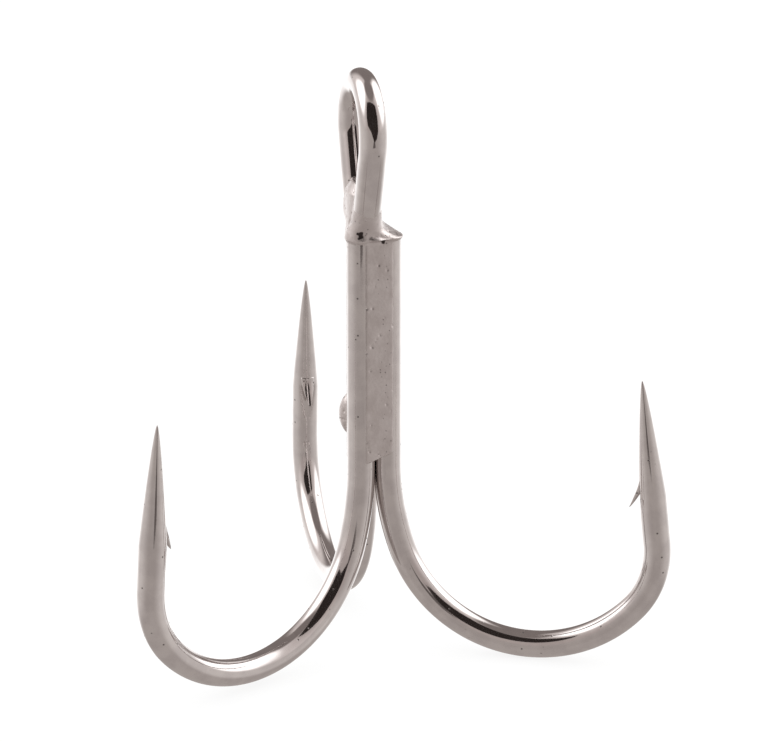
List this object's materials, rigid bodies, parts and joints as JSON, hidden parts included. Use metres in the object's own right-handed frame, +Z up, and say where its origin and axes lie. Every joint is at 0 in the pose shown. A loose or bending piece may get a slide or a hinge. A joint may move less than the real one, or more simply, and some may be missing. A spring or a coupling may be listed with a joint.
{
  "type": "treble fishing hook",
  "caption": "Treble fishing hook of brazed steel wire: barbed hooks spaced evenly round one shank, with a teardrop line eye on top.",
  "frame": {"origin": "centre of the round top of the line eye, midway through the wire", "axes": "+Z up along the shank towards the eye, Y along the axis of the eye, +X towards the side between the two hooks that stand at 60 degrees either side of it; the third hook points along -X"},
  "size_m": [0.0279, 0.033, 0.0366],
  "materials": {
    "hook_wire": "polished, bright plated",
    "braze": "frozen braze metal under the plating, dull and finely pitted"
  },
  "bodies": {
    "root": {"double_hook": "hook_wire", "single_hook": "hook_wire", "front_bead": "braze", "left_bead": "braze", "rear_bead": "braze", "core": "braze", "collar": "braze"}
  },
  "joints": []
}
